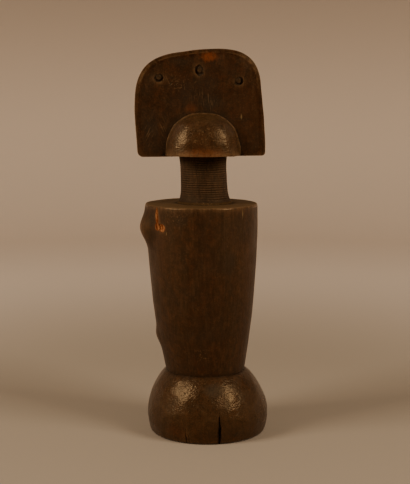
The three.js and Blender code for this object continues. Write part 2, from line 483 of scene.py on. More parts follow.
def crest_outline(sizes):
    """The crest's side view: square below, round at both upper corners, highest behind the middle."""
    top, bottom = sizes.crest_top, sizes.head_bottom
    front, back = sizes.crest_front, sizes.crest_back
    front_foot, back_bottom = front + 1.4 * MM, bottom + 0.8 * MM
    front_corner, back_corner = 3.2 * MM, 2 * MM
    crown, brow, jaw, nape = (3.9 * MM, top), (-14.2 * MM, 0.2185), (front, 0.1868), (0.030, 0.2003)
    outline = corner((back - back_corner, back_bottom + back_corner), back_corner, -90, 0, 5)
    outline += curve(outline[-1], (back, 0.176), (0.0312, 0.188), nape, 46)
    outline += curve(nape, (0.0286, 0.2196), (0.0145, top), crown, 40)
    outline += curve(crown, (-0.003, top), (-0.0085, top - 0.8 * MM), brow, 20)
    outline += curve(brow, (-0.0396, 0.216), (-0.0412, 0.2025), jaw, 52)
    lowest = (front_foot, bottom + front_corner)
    outline += curve(jaw, (front + 0.1 * MM, 0.178), (front_foot - 0.3 * MM, 0.170), lowest, 26)
    outline += corner((front_foot + front_corner, lowest[1]), front_corner, 180, 270, 6)[1:]
    outline += straight(outline[-1], outline[0], 0.9 * MM)
    return outline


def from_rim(sizes, x, z):
    """How far points on the crest's faces lie inside its outline."""
    places = np.column_stack((x, z))
    outline = np.array(crest_outline(sizes))
    nearest = np.full(len(places), np.inf)
    for start, end in zip(outline, np.roll(outline, -1, axis=0)):
        along = end - start
        share = np.clip((places - start) @ along / (along @ along), 0, 1)
        nearest = np.minimum(nearest, np.linalg.norm(places - start - share[:, None] * along, axis=1))
    return nearest


def crest_form(sizes):
    """A flat plate with worn edges, pared by hand on both faces."""
    outline = crest_outline(sizes)
    half, edge = sizes.crest_half, sizes.crest_edge
    bpy.ops.object.select_all(action="DESELECT")
    bpy.ops.mesh.primitive_circle_add(vertices=len(outline), radius=1, fill_type="NGON")
    crest = new_form("crest")
    for point, (x, z) in zip(crest.data.vertices, outline):
        point.co = (x, -half, z)
    crest.data.update()
    edit(crest)
    bpy.ops.mesh.extrude_region_move(TRANSFORM_OT_translate={"value": (0, 2 * half, 0)})
    bpy.ops.mesh.select_all(action="SELECT")
    bpy.ops.mesh.normals_make_consistent(inside=False)
    bpy.ops.mesh.select_all(action="DESELECT")
    close_edit()
    for line in crest.data.edges:
        ends = [crest.data.vertices[i].co.y for i in line.vertices]
        line.select = abs(ends[0] - ends[1]) < half
    bpy.context.view_layer.objects.active = crest
    bpy.ops.object.mode_set(mode="EDIT")
    bpy.ops.mesh.bevel(offset=edge, segments=3, profile=0.5, affect="EDGES", clamp_overlap=True)
    grid = 0.85 * MM
    cuts = [((x, 0, 0), (1, 0, 0)) for x in steps(sizes.crest_front, sizes.crest_back, grid)[1:-1]]
    cuts += [((0, 0, z), (0, 0, 1)) for z in steps(sizes.head_bottom, sizes.crest_top, grid)[1:-1]]
    cuts += [((0, y, 0), (0, 1, 0)) for y in steps(edge - half, half - edge, 1.1 * MM)[1:-1]]
    for place, normal in cuts:
        bpy.ops.mesh.select_all(action="SELECT")
        bpy.ops.mesh.bisect(plane_co=place, plane_no=normal)
    close_edit()
    middle = Vector((-0.004, 0, 0.185))
    places = np.array([corner.co for corner in crest.data.vertices])
    inside = iter(from_rim(sizes, places[:, 0], places[:, 2]))

    def carve(point):
        rim = next(inside)
        inward = (middle - Vector((point.x, 0, point.z))).normalized()
        edge_share = max(0.0, min(1.0, (half - abs(point.y)) / (0.3 * MM)))
        face_share = 1 - edge_share
        side = 13 if point.y < 0 else 17
        face_depth = 0.13 * MM + carved_in(
            point, (0.014, 0.014, 0.02), 0.16 * MM, (0.006, 0.006, 0.010), 0.08 * MM, side
        )
        face_depth += 0.04 * MM * wander(point, (0.0018, 0.0018, 0.025), 8)
        handled = swelling(point.x - 22 * MM, 12 * MM, point.z - 213 * MM, 11 * MM)
        thinned = (0.25 + 0.75 * handled) * MM * max(0.0, 1 - rim / (5.5 * MM)) ** 2
        worn = 0.10 * MM * (1 + wander(point, (0.007, 0.007, 0.007), 21))
        y = point.y * (1 - thinned / half) - math.copysign(face_depth * face_share, point.y)
        moved = point + inward * worn
        return Vector((moved.x, y, moved.z))

    move_points(crest, carve)
    return crest


# Marks, splits and chips

def stamp_cutter(sizes, x, z, tilt, squash):
    """A ring-shaped punch held a little askew."""
    bpy.ops.object.select_all(action="DESELECT")
    bpy.ops.mesh.primitive_torus_add(
        major_segments=44, minor_segments=14, major_radius=1.85 * MM, minor_radius=0.78 * MM,
        rotation=(math.pi / 2, 0, 0),
    )
    punch = new_form("punch")
    edit(punch)
    bpy.ops.transform.resize(value=(1, 1, squash))
    close_edit()
    place = Vector((x, -sizes.crest_half - 0.02 * MM, z))

    def shape(point):
        lean = tilt[0] * point.x + tilt[1] * point.z
        rough = 0.20 * MM * wander(point + place, (0.0013, 0.0013, 0.0013), 31)
        return place + point * (1 + rough / (2 * MM)) + Vector((0, lean + rough, 0))

    move_points(punch, shape)
    return punch


def pit_cutter(sizes, x, z, radius, depth):
    """A small dent in the crest's near face."""
    bpy.ops.object.select_all(action="DESELECT")
    bpy.ops.mesh.primitive_ico_sphere_add(subdivisions=3, radius=1)
    pit = new_form("pit")
    place = Vector((x, -sizes.crest_half, z))

    def shape(point):
        rough = 1 + 0.25 * noise.noise(point * 1.4 + place * 300)
        return place + Vector((point.x * radius, point.y * depth, point.z * radius)) * rough

    move_points(pit, shape)
    return pit


def split_cutter(sizes, azimuth, top, width, depth):
    """A drying split in the foot: a thin crooked wedge, widest at the underside."""
    bpy.ops.object.select_all(action="DESELECT")
    bpy.ops.mesh.primitive_cube_add(size=1)
    wedge = new_form("split")
    edit(wedge)
    bpy.ops.mesh.subdivide(number_cuts=15)
    close_edit()
    direction = Vector((math.cos(azimuth), math.sin(azimuth), 0))
    side = Vector((math.sin(azimuth), -math.cos(azimuth), 0))
    bottom = -MM

    def shape(point):
        rise = point.z + 0.5
        z = bottom + (top - bottom) * rise
        narrow = 1.5 * (point.y + 0.5) if point.y < 0 else 1
        wide = width * min(1.0, max(0.08, 1.7 * (1 - rise))) ** 0.8 * (0.45 + 0.55 * min(1.0, narrow))
        crooked = 0.45 * MM * noise.noise(Vector((3.1, azimuth, z / (5 * MM))))
        rough = 0.32 * MM * noise.noise(Vector((point.x * 2, 7.7, z / (1.5 * MM))))
        surface = foot_radius(sizes, max(z, sizes.foot_wall)) - 0.4 * MM
        out = surface - depth * (1 - 0.65 * rise) + (point.y + 0.5) * 5 * MM
        return direction * out + side * (point.x * wide + crooked + rough) + Vector((0, 0, z))

    move_points(wedge, shape)
    return wedge


def chip_cutter(sizes, azimuth, z, width, height, depth, seed, swing=0.0):
    """A flake torn out of the body, with the fibres showing in its bed. It may swing aside below."""
    bpy.ops.object.select_all(action="DESELECT")
    bpy.ops.mesh.primitive_uv_sphere_add(segments=64, ring_count=40, radius=1)
    flake = new_form("flake")
    from_chest = math.pi - abs(azimuth)
    surface = body_radius(sizes, z) + chest_relief(sizes, from_chest, z)
    direction = Vector((math.cos(azimuth), math.sin(azimuth), 0))
    side = Vector((-math.sin(azimuth), math.cos(azimuth), 0))
    centre = Vector((body_axis(sizes, z), 0, z)) + direction * (surface + depth)

    def shape(point):
        ragged = 1 + 0.5 * noise.noise(Vector((point.y * 1.7, point.z * 1.7, seed)))
        ragged += 0.22 * noise.noise(Vector((point.y * 5, point.z * 5, seed)))
        fibres = 0.12 * MM * noise.noise(Vector((point.y * 7, point.z * 0.9, seed + 4)))
        out = point.x * 2 * depth + fibres
        across = point.y * width / 2 * ragged + swing * (0.5 - 0.5 * point.z) ** 2
        return centre + direction * out + side * across + Vector((0, 0, point.z * height / 2 * ragged))

    move_points(flake, shape)
    return flake


def cut_marks(figure, sizes):
    """Cuts the stamped rings, dents, splits and chips into the joined figure."""
    stamps = (
        (-27.5, 204.0, (0.10, -0.24), 0.95),
        (-4.6, 208.2, (-0.22, -0.08), 1.22),
        (17.5, 202.2, (0.20, -0.20), 1.0),
    )
    for x, z, tilt, squash in stamps:
        combine(figure, stamp_cutter(sizes, x * MM, z * MM, tilt, squash), "DIFFERENCE")
    for x, z, radius, depth in ((-20.6, 200.8, 0.9, 0.4), (2.7, 207.9, 1.1, 0.25), (-15.9, 218.5, 0.75, 1.6)):
        combine(figure, pit_cutter(sizes, x * MM, z * MM, radius * MM, depth * MM), "DIFFERENCE")
    for azimuth, top, width, depth in ((-79, 18.5, 2.0, 3.4), (-111, 9.0, 1.0, 2.0), (-108, 7.0, 0.8, 1.8)):
        combine(
            figure,
            split_cutter(sizes, math.radians(azimuth), top * MM, width * MM, depth * MM),
            "DIFFERENCE",
        )
    chips = (
        (-140.5, 127.6, 1.9, 11.0, 0.6, 1.0, 1.0),
        (-135.0, 121.2, 5.6, 4.4, 0.8, 5.0, 0.0),
        (-140.4, 121.8, 3.4, 4.6, 0.7, 8.0, 0.0),
    )
    for azimuth, z, width, height, depth, seed, swing in chips:
        cutter = chip_cutter(
            sizes, math.radians(azimuth), z * MM, width * MM, height * MM, depth * MM, seed, swing * MM
        )
        combine(figure, cutter, "DIFFERENCE")


def drop_flakes(figure):
    """Drops the tiny flakes that the cuts left hanging free of the foot and all that it carries."""
    edit(figure)
    bpy.ops.mesh.select_all(action="DESELECT")
    close_edit()
    min(figure.data.vertices, key=lambda point: point.co.z).select = True
    bpy.ops.object.mode_set(mode="EDIT")
    bpy.ops.mesh.select_linked()
    bpy.ops.mesh.select_all(action="INVERT")
    bpy.ops.mesh.delete(type="VERT")
    close_edit()


# What the shape says about wear, and about hollows that get dirt and painted shade

def measure_wear(figure, sizes):
    """Stores where points stand out (edge) or lie in (hollow), the scooped parts and the crest's rim."""
    mesh = figure.data
    count = len(mesh.vertices)
    places = np.empty(count * 3)
    mesh.vertices.foreach_get("co", places)
    places = places.reshape(-1, 3)
    normals = np.empty(count * 3)
    mesh.vertices.foreach_get("normal", normals)
    normals = normals.reshape(-1, 3)
    ends = np.empty(len(mesh.edges) * 2, dtype=int)
    mesh.edges.foreach_get("vertices", ends)
    first, second = ends.reshape(-1, 2).T
    along = places[second] - places[first]
    span = np.maximum(np.linalg.norm(along, axis=1), 0.02 * MM)
    bend = np.einsum("ij,ij->i", normals[second] - normals[first], along) / span
    shares = np.bincount(first, minlength=count) + np.bincount(second, minlength=count)
    shares = np.maximum(shares, 1)

    def spread(values):
        total = np.bincount(first, values[second], count) + np.bincount(second, values[first], count)
        return 0.5 * values + 0.5 * total / shares

    total = np.bincount(first, bend, count) + np.bincount(second, bend, count)
    bent = total / shares
    for _ in range(2):
        bent = spread(bent)
    wide = bent
    for _ in range(5):
        wide = spread(wide)
    edge = np.clip(np.maximum(bent, wide) * 4.5, 0, 1)
    hollow = np.clip(-np.minimum(bent, wide * 1.4) * 5.0, 0, 1)
    x, y, z = places.T
    on_foot = (z < 0.0375) & (z > 0.0005)
    on_head = (z > 0.1595) & (z < 0.1855) & (np.abs(y) > 0.0052)
    scoops = np.where(on_foot | on_head, 1.0, 0.0)
    for _ in range(2):
        scoops = spread(scoops)
    on_crest = (z > sizes.head_bottom - MM) & (np.abs(y) < sizes.crest_half + 0.1 * MM)
    rim = np.where(on_crest, from_rim(sizes, x, z) / MM, 99.0)
    for name, values in (("edge", edge), ("hollow", hollow), ("scoops", scoops), ("rim", rim)):
        layer = mesh.attributes.new(name, "FLOAT", "POINT")
        layer.data.foreach_set("value", values.astype(np.float32))


# Shader node groups

def add_node(tree, kind, inputs=None, **options):
    """Adds a shader node, sets its options, and links or fills its inputs."""
    made = tree.nodes.new(kind)
    for name, value in options.items():
        setattr(made, name, value)
    for name, value in (inputs or {}).items():
        if isinstance(value, bpy.types.NodeSocket):
            tree.links.new(value, made.inputs[name])
        else:
            made.inputs[name].default_value = value
    return made


def maths(tree, operation, first, second=0.0, third=0.0, clamp=False):
    """One sum on two or three numbers."""
    inputs = {0: first, 1: second, 2: third}
    return add_node(tree, "ShaderNodeMath", inputs, operation=operation, use_clamp=clamp).outputs[0]


def ramp(tree, value, low, high, start=0.0, end=1.0):
    """Turns a range of values smoothly into another."""
    inputs = {"Value": value, "From Min": low, "From Max": high, "To Min": start, "To Max": end}
    made = add_node(tree, "ShaderNodeMapRange", inputs, interpolation_type="SMOOTHSTEP")
    return made.outputs["Result"]


def mix(tree, share, first, second, blend="MIX"):
    """Mixes two colours."""
    made = add_node(
        tree, "ShaderNodeMix", {0: share, 6: first, 7: second}, data_type="RGBA", blend_type=blend
    )
    return made.outputs[2]


def stretched(tree, place, scale):
    """Coordinates scaled along each axis, so that a pattern is drawn out."""
    return add_node(tree, "ShaderNodeMapping", {"Vector": place, "Scale": scale}).outputs[0]


def cloudy(tree, place, scale, detail=4.0, roughness=0.55, distortion=0.0):
    """Plain noise."""
    inputs = {
        "Vector": place, "Scale": scale, "Detail": detail, "Roughness": roughness, "Distortion": distortion
    }
    return add_node(tree, "ShaderNodeTexNoise", inputs).outputs["Fac"]


def start_group(name, inputs, outputs):
    """An empty node group with named sockets. Inputs are (name, kind, default) triples."""
    tree = bpy.data.node_groups.new(name, "ShaderNodeTree")
    for label, kind, default in inputs:
        socket = tree.interface.new_socket(label, in_out="INPUT", socket_type=kind)
        if default is not None:
            socket.default_value = default
    for label, kind in outputs:
        tree.interface.new_socket(label, in_out="OUTPUT", socket_type=kind)
    return tree, tree.nodes.new("NodeGroupInput").outputs, tree.nodes.new("NodeGroupOutput").inputs


def grain_group():
    """Long grain of a billet stood on end: drawn out along Z, dotted on end grain."""
    tree, given, out = start_group(
        "Long grain",
        [("Place", "NodeSocketVector", None), ("Stretch", "NodeSocketFloat", 0.05)],
        [("Streaks", "NodeSocketFloat"), ("Fibres", "NodeSocketFloat"), ("Pores", "NodeSocketFloat")],
    )
    scale = add_node(tree, "ShaderNodeCombineXYZ", {"X": 1.0, "Y": 1.0, "Z": given["Stretch"]}).outputs[0]
    drawn = add_node(
        tree, "ShaderNodeVectorMath", {0: given["Place"], 1: scale}, operation="MULTIPLY"
    ).outputs[0]
    tree.links.new(cloudy(tree, drawn, 0.24, 5.0, 0.6, 0.6), out["Streaks"])
    tree.links.new(cloudy(tree, drawn, 0.8, 5.0, 0.68, 0.3), out["Fibres"])
    cells = add_node(tree, "ShaderNodeTexVoronoi", {"Vector": drawn, "Scale": 1.1, "Randomness": 1.0})
    tree.links.new(ramp(tree, cells.outputs["Distance"], 0.05, 0.3, 1.0, 0.0), out["Pores"])
    return tree


def strokes_group():
    """Thin pale scratches that run one way, turned about the Y axis by an angle."""
    tree, given, out = start_group(
        "Fine strokes",
        [
            ("Place", "NodeSocketVector", None),
            ("Turn", "NodeSocketFloat", 0.0),
            ("Width", "NodeSocketFloat", 0.6),
        ],
        [("Mask", "NodeSocketFloat")],
    )
    turned_place = add_node(
        tree, "ShaderNodeVectorRotate", {"Vector": given["Place"], "Angle": given["Turn"]},
        rotation_type="Y_AXIS",
    ).outputs[0]
    drawn = stretched(tree, turned_place, (1.0, 1.0, 0.12))
    scale = maths(tree, "DIVIDE", 1.0, given["Width"])
    inputs = {"Vector": drawn, "Scale": scale, "Detail": 2.0, "Roughness": 0.5}
    tree.links.new(
        ramp(tree, add_node(tree, "ShaderNodeTexNoise", inputs).outputs["Fac"], 0.54, 0.68), out["Mask"]
    )
    return tree


def scoops_group():
    """Fish-scale scoops of a small knife, with ridges between them."""
    tree, given, out = start_group(
        "Knife scoops",
        [("Place", "NodeSocketVector", None), ("Size", "NodeSocketFloat", 1.4)],
        [("Height", "NodeSocketFloat")],
    )
    warp = cloudy(tree, given["Place"], 0.3, 2.0)
    bent = add_node(
        tree, "ShaderNodeVectorMath", {0: given["Place"], 1: maths(tree, "MULTIPLY", warp, 3.0)},
        operation="ADD",
    ).outputs[0]
    flat = stretched(tree, bent, (0.75, 0.75, 1.25))
    scale = maths(tree, "DIVIDE", 1.0, given["Size"])
    cells = add_node(
        tree, "ShaderNodeTexVoronoi", {"Vector": flat, "Scale": scale, "Randomness": 0.85}, feature="F1"
    )
    tree.links.new(maths(tree, "POWER", cells.outputs["Distance"], 1.6), out["Height"])
    return tree


def spot_group():
    """A ragged spot round a centre, with its own reach along each axis."""
    tree, given, out = start_group(
        "Ragged spot",
        [
            ("Place", "NodeSocketVector", None),
            ("Centre", "NodeSocketVector", None),
            ("Reach", "NodeSocketVector", None),
            ("Raggedness", "NodeSocketFloat", 0.3),
            ("Softness", "NodeSocketFloat", 0.3),
        ],
        [("Mask", "NodeSocketFloat")],
    )
    offset = add_node(
        tree, "ShaderNodeVectorMath", {0: given["Place"], 1: given["Centre"]}, operation="SUBTRACT"
    ).outputs[0]
    shared = add_node(
        tree, "ShaderNodeVectorMath", {0: offset, 1: given["Reach"]}, operation="DIVIDE"
    ).outputs[0]
    away = add_node(tree, "ShaderNodeVectorMath", {0: shared}, operation="LENGTH").outputs["Value"]
    rough = cloudy(tree, stretched(tree, given["Place"], (1.0, 1.0, 0.4)), 1.1, 3.0)
    pushed = maths(tree, "MULTIPLY_ADD", maths(tree, "SUBTRACT", rough, 0.5), given["Raggedness"], away)
    low = maths(tree, "SUBTRACT", 1.0, given["Softness"])
    tree.links.new(ramp(tree, pushed, low, 1.0, 1.0, 0.0), out["Mask"])
    return tree


def patina_group():
    """Blotches that handling, smoke and wax leave over the whole surface."""
    tree, given, out = start_group(
        "Handled patina",
        [("Place", "NodeSocketVector", None), ("Size", "NodeSocketFloat", 14.0)],
        [("Blotches", "NodeSocketFloat"), ("Specks", "NodeSocketFloat")],
    )
    scale = maths(tree, "DIVIDE", 1.0, given["Size"])
    broad = add_node(
        tree, "ShaderNodeTexNoise",
        {"Vector": given["Place"], "Scale": scale, "Detail": 6.0, "Roughness": 0.62, "Distortion": 0.6},
    ).outputs["Fac"]
    tree.links.new(ramp(tree, broad, 0.36, 0.64), out["Blotches"])
    fine = cloudy(tree, given["Place"], 0.9, 3.0, 0.7)
    tree.links.new(ramp(tree, fine, 0.53, 0.68), out["Specks"])
    return tree


def rgba(value):
    """A colour as a shader socket takes it."""
    return (*value, 1.0)


def figure_material(colours):
    """Dark handled wood, with worn edges, knife marks and bare chips, dirt and painted shade in hollows, a
    painted shadow under the head and painted highlights on the crest's rim.
    """
    material = bpy.data.materials.new("handled_dark_wood")
    material.use_nodes = True
    tree = material.node_tree
    tree.nodes.clear()
    object_place = add_node(tree, "ShaderNodeTexCoord").outputs["Object"]
    place = stretched(tree, object_place, (1000, 1000, 1000))
    x, y, z = add_node(tree, "ShaderNodeSeparateXYZ", {0: place}).outputs

    def placed(group, **inputs):
        made = add_node(tree, "ShaderNodeGroup", node_tree=group)
        tree.links.new(place, made.inputs["Place"])
        for name, value in inputs.items():
            made.inputs[name].default_value = value
        return made.outputs

    grain = placed(grain_group(), Stretch=0.12)
    patina = placed(patina_group(), Size=15.0)
    mottle = placed(patina_group(), Size=5.0)
    scoops = placed(scoops_group(), Size=1.25)
    strokes = strokes_group()
    spot = spot_group()

    edge = add_node(tree, "ShaderNodeAttribute", attribute_name="edge").outputs["Fac"]
    hollow = add_node(tree, "ShaderNodeAttribute", attribute_name="hollow").outputs["Fac"]
    scooped = add_node(tree, "ShaderNodeAttribute", attribute_name="scoops").outputs["Fac"]
    from_edge = add_node(tree, "ShaderNodeAttribute", attribute_name="rim").outputs["Fac"]

    def spot_at(centre, reach, raggedness=0.35, softness=0.3):
        return placed(spot, Centre=centre, Reach=reach, Raggedness=raggedness, Softness=softness)["Mask"]

    def shared(value, share):
        return maths(tree, "MULTIPLY", value, share)

    def either(first, second):
        return maths(tree, "MAXIMUM", first, second)

    def tinted(base, marks, colour):
        """Lays one colour over the wood in several ragged spots of (centre, reach, share)."""
        for centre, reach, share in marks:
            base = mix(tree, shared(spot_at(centre, reach, 0.9, 0.75), share), base, colour)
        return base

    brown, red, soot = rgba(colours.brown), rgba(colours.red), rgba(colours.soot)
    film, dust_and_highlight, wax = rgba(colours.film), rgba(colours.dust_and_highlight), rgba(colours.wax)
    warm = maths(
        tree, "MULTIPLY_ADD", mottle["Blotches"], 0.35, ramp(tree, grain["Streaks"], 0.34, 0.66, 0.0, 0.55)
    )
    wood = mix(tree, warm, brown, red)
    wood = mix(tree, shared(patina["Blotches"], 0.30), wood, film)
    fibres = ramp(tree, grain["Fibres"], 0.34, 0.68, 0.80, 1.22)
    fibres = maths(tree, "MULTIPLY", fibres, ramp(tree, grain["Pores"], 0.3, 1.0, 1.0, 0.84))
    fibres = maths(
        tree, "MULTIPLY", fibres, ramp(tree, cloudy(tree, place, 0.30, 4.0, 0.65), 0.36, 0.64, 0.66, 1.38)
    )
    shade = add_node(tree, "ShaderNodeCombineColor", {0: fibres, 1: fibres, 2: fibres}).outputs[0]
    wood = mix(tree, 1.0, wood, shade, "MULTIPLY")

    wood = mix(tree, shared(scooped, 0.25), wood, wax)
    on_shoulder = maths(tree, "MULTIPLY", ramp(tree, z, 132.6, 133.0), ramp(tree, z, 134.6, 134.2, 0.0, 1.0))
    wood = mix(tree, shared(on_shoulder, 0.95), wood, rgba(colours.disc))
    on_neck = maths(tree, "MULTIPLY", ramp(tree, z, 133.4, 134.4), ramp(tree, z, 160.4, 159.6, 0.0, 1.0))
    wood = mix(tree, shared(on_neck, 0.40), wood, soot)
    # Painted shadow: the top of the neck just under the head is painted nearly black, most of all at the
    # front, where the head's shadow falls.
    painted_neck_shadow = either(
        spot_at((-2.2, -14.0, 160.5), (14.0, 12.0, 13.0), 0.2, 0.6),
        spot_at((-2.2, 0.0, 160.5), (30.0, 30.0, 6.5), 0.2, 0.6),
    )
    painted_neck_shadow = maths(tree, "MULTIPLY", painted_neck_shadow, on_neck)
    wood = mix(tree, shared(painted_neck_shadow, 0.97), wood, (0.0012, 0.0009, 0.0007, 1.0))
    # The foot of the neck and the shoulder close round it are made darker, and rougher below.
    neck_foot_darkening = spot_at((-1.6, 0.0, 133.4), (18.5, 18.5, 4.5), 0.5, 0.6)
    wood = mix(tree, shared(neck_foot_darkening, 0.35), wood, soot)

    wood = tinted(wood, (
        ((22.0, -5.0, 188.0), (15.0, 2.5, 22.0), 0.45),
        ((2.0, -5.0, 205.0), (6.0, 2.5, 5.0), 0.30),
        ((-24.0, -22.0, 112.0), (9.0, 9.0, 22.0), 0.5),
        ((24.0, -16.0, 95.0), (10.0, 10.0, 30.0), 0.5),
        ((-18.0, -27.5, 8.0), (8.0, 7.0, 6.0), 0.6),
        # Orange red along the lower front of the head.
        ((-2.0, -19.0, 165.0), (14.0, 4.0, 5.0), 0.5),
        ((-2.5, -19.0, 172.0), (3.0, 4.0, 3.0), 0.6),
        ((15.5, -30.0, 30.0), (5.0, 6.0, 4.0), 0.5),
    ), red)
    wood = tinted(wood, (
        ((0.6, -5.0, 215.6), (6.4, 3.0, 3.7), 1.0),
        ((-9.5, -5.0, 187.0), (4.6, 2.5, 4.6), 0.42),
        # Orange red along the lower front of the head.
        ((-2.0, -19.0, 161.8), (17.0, 9.0, 4.4), 0.62),
        ((-14.0, -27.5, 6.0), (9.0, 7.0, 4.0), 0.22),
        ((-27.0, -20.0, 124.5), (3.4, 4.0, 5.6), 0.25),
    ), rgba(colours.rubbed))
    wood = tinted(wood, (
        ((-32.0, -5.0, 176.0), (6.0, 2.5, 7.0), 0.8),
        ((-30.0, -5.0, 167.0), (12.0, 2.5, 10.0), 0.45),
        ((-6.0, -5.0, 196.0), (20.0, 2.5, 13.0), 0.55),
        ((-15.0, -5.0, 213.0), (9.0, 2.5, 4.0), 0.6),
        ((-31.0, -16.0, 125.0), (3.0, 6.0, 6.0), 0.8),
        ((-14.0, -28.0, 126.0), (6.0, 6.0, 5.0), 0.7),
        ((11.0, -26.0, 103.0), (7.0, 5.0, 10.0), 0.75),
        ((4.0, -30.0, 31.0), (9.0, 6.0, 5.5), 0.9),
        ((16.5, -32.0, 5.0), (3.6, 4.0, 3.2), 1.0),
        ((-2.0, -24.0, 60.0), (20.0, 9.0, 6.0), 0.45),
        ((1.5, -5.0, 190.0), (9.0, 2.5, 6.0), 0.8),
    ), film)
    wood = tinted(wood, (
        ((16.0, -33.0, 4.6), (2.0, 3.0, 2.0), 0.9),
        # Dirt and painted shade inside the main split in the foot.
        ((6.6, -34.0, 6.0), (1.7, 5.0, 14.0), 0.85),
        ((-31.0, -5.0, 181.0), (4.0, 2.0, 4.0), 0.5),
        ((-1.0, -25.0, 86.0), (1.5, 4.0, 26.0), 0.6),
        ((8.0, -24.0, 68.0), (1.5, 4.0, 14.0), 0.5),
        ((20.0, -5.0, 181.0), (7.0, 2.0, 0.7), 0.7),
    ), soot)

    worn = maths(tree, "MULTIPLY", edge, ramp(tree, grain["Fibres"], 0.3, 0.62, 0.25, 1.0))
    near_split = spot_at((6.6, -34.0, 8.0), (4.0, 6.0, 16.0), 0.2, 0.5)
    worn = maths(tree, "MULTIPLY", worn, maths(tree, "MULTIPLY_ADD", near_split, -0.8, 1.0))
    worn = maths(tree, "MULTIPLY", worn, ramp(tree, z, 9.0, 15.0, 0.3, 1.0))
    wood = mix(tree, shared(worn, 0.6), wood, dust_and_highlight)
    broken = ramp(tree, cloudy(tree, place, 0.35, 3.0, 0.6), 0.42, 0.56)
    sunk = maths(tree, "MULTIPLY", ramp(tree, from_edge, 1.3, 1.7), ramp(tree, from_edge, 2.4, 2.0, 0.0, 1.0))
    high = ramp(tree, z, 185.0, 205.0)
    wood = mix(
        tree, maths(tree, "MULTIPLY", maths(tree, "MULTIPLY", shared(sunk, 0.22), high), broken), wood, dust_and_highlight
    )
    # Painted highlight: a pale line a little inside the crest's rim at its upper corners, where the lamps
    # catch the worn bevel.
    painted_rim_highlight = maths(
        tree, "MULTIPLY", ramp(tree, from_edge, 0.6, 1.1), ramp(tree, from_edge, 3.0, 1.8, 0.0, 1.0)
    )
    corners = either(
        spot_at((22.5, -5.0, 212.0), (9.0, 4.0, 9.0), 0.5, 0.5),
        spot_at((-36.0, -5.0, 206.0), (7.0, 4.0, 10.0), 0.5, 0.5),
    )
    painted_rim_highlight = maths(
        tree, "MULTIPLY",
        maths(tree, "MULTIPLY", painted_rim_highlight, corners), ramp(tree, broken, 0.0, 1.0, 0.35, 1.0),
    )
    wood = mix(tree, shared(painted_rim_highlight, 0.36), wood, dust_and_highlight)
    aside = maths(tree, "ABSOLUTE", y)
    on_head = maths(tree, "MULTIPLY", ramp(tree, z, 161.0, 163.0), ramp(tree, z, 190.0, 189.0, 0.0, 1.0))
    lip = maths(tree, "MULTIPLY", ramp(tree, aside, 5.15, 5.35), ramp(tree, aside, 6.6, 5.9, 0.0, 1.0))
    lip = maths(tree, "MULTIPLY", lip, on_head)
    band = maths(tree, "MULTIPLY", ramp(tree, aside, 5.15, 5.6), ramp(tree, aside, 10.5, 7.5, 0.0, 1.0))
    band = maths(tree, "MULTIPLY", band, on_head)
    # Dirt and painted shade in hollows: points that lie in are darkened with soot, less on the neck and on
    # the head's lip and band.
    cut = maths(tree, "MULTIPLY", hollow, ramp(tree, on_neck, 0.0, 1.0, 0.85, 0.45))
    cut = maths(tree, "MULTIPLY", cut, ramp(tree, either(lip, band), 0.0, 1.0, 1.0, 0.25))
    wood = mix(tree, cut, wood, soot)
    wood = mix(tree, shared(band, 0.65), wood, wax)
    # Pale dusty colour and a painted highlight along the lip where the head meets the crest.
    wood = mix(tree, maths(tree, "MULTIPLY", lip, ramp(tree, broken, 0.0, 1.0, 0.08, 0.42)), wood, dust_and_highlight)
    wood = mix(tree, shared(spot_at((-2.5, -12.0, 183.0), (15.0, 8.0, 6.0), 0.9, 0.8), 0.6), wood, wax)

    upright = placed(strokes, Turn=0.0, Width=0.55)["Mask"]
    slanted = placed(strokes, Turn=math.radians(-28), Width=0.8)["Mask"]
    leaning = placed(strokes, Turn=math.radians(24), Width=0.7)["Mask"]
    flecked = shared(patina["Specks"], 0.16)
    for centre, reach, share in (
        ((-2.5, -24.0, 50.0), (8.0, 5.0, 5.5), 1.0),
        ((-5.5, -25.5, 77.0), (3.5, 5.0, 4.0), 1.0),
        ((-15.0, -27.0, 127.0), (13.0, 8.0, 8.0), 0.9),
        ((-2.0, -16.0, 133.8), (15.0, 6.0, 2.0), 1.0),
        ((-16.0, -5.0, 201.0), (14.0, 2.0, 9.0), 0.7),
        ((-23.0, -5.0, 202.0), (5.0, 2.0, 5.0), 1.0),
        ((-2.5, -17.0, 172.0), (20.0, 12.0, 11.0), 0.9),
        ((-2.0, -30.0, 34.0), (16.0, 9.0, 3.0), 1.0),
    ):
        dusted = maths(tree, "MULTIPLY", spot_at(centre, reach, 0.8, 0.8), patina["Specks"])
        flecked = either(flecked, shared(dusted, share))
    for lines, centre, reach, share in (
        (upright, (-1.0, -5.0, 192.0), (14.0, 2.0, 12.0), 0.55),
        (upright, (-13.0, -5.0, 184.0), (5.0, 2.0, 6.0), 0.60),
        (upright, (0.0, 0.0, 90.0), (40.0, 40.0, 60.0), 0.14),
        (upright, (-12.0, -32.0, 6.0), (8.0, 6.0, 8.0), 0.35),
        (slanted, (-33.0, -5.0, 174.0), (5.0, 2.0, 12.0), 0.50),
        (leaning, (-25.0, -5.0, 174.0), (6.0, 2.0, 12.0), 0.50),
        (leaning, (-22.0, -5.0, 203.0), (7.0, 2.0, 5.0), 0.50),
    ):
        stroked = maths(tree, "MULTIPLY", spot_at(centre, reach, 0.6, 0.9), lines)
        flecked = either(flecked, shared(stroked, share))
    wood = mix(tree, shared(flecked, 0.6), wood, dust_and_highlight)
    sooty = maths(tree, "MULTIPLY", ramp(tree, cloudy(tree, place, 0.75, 4.0, 0.7), 0.54, 0.66), 0.5)
    wood = mix(tree, sooty, wood, soot)
    scratched = shared(spot_at((19.0, -5.0, 182.3), (0.6, 1.5, 1.9), 0.9, 0.8), 0.8)
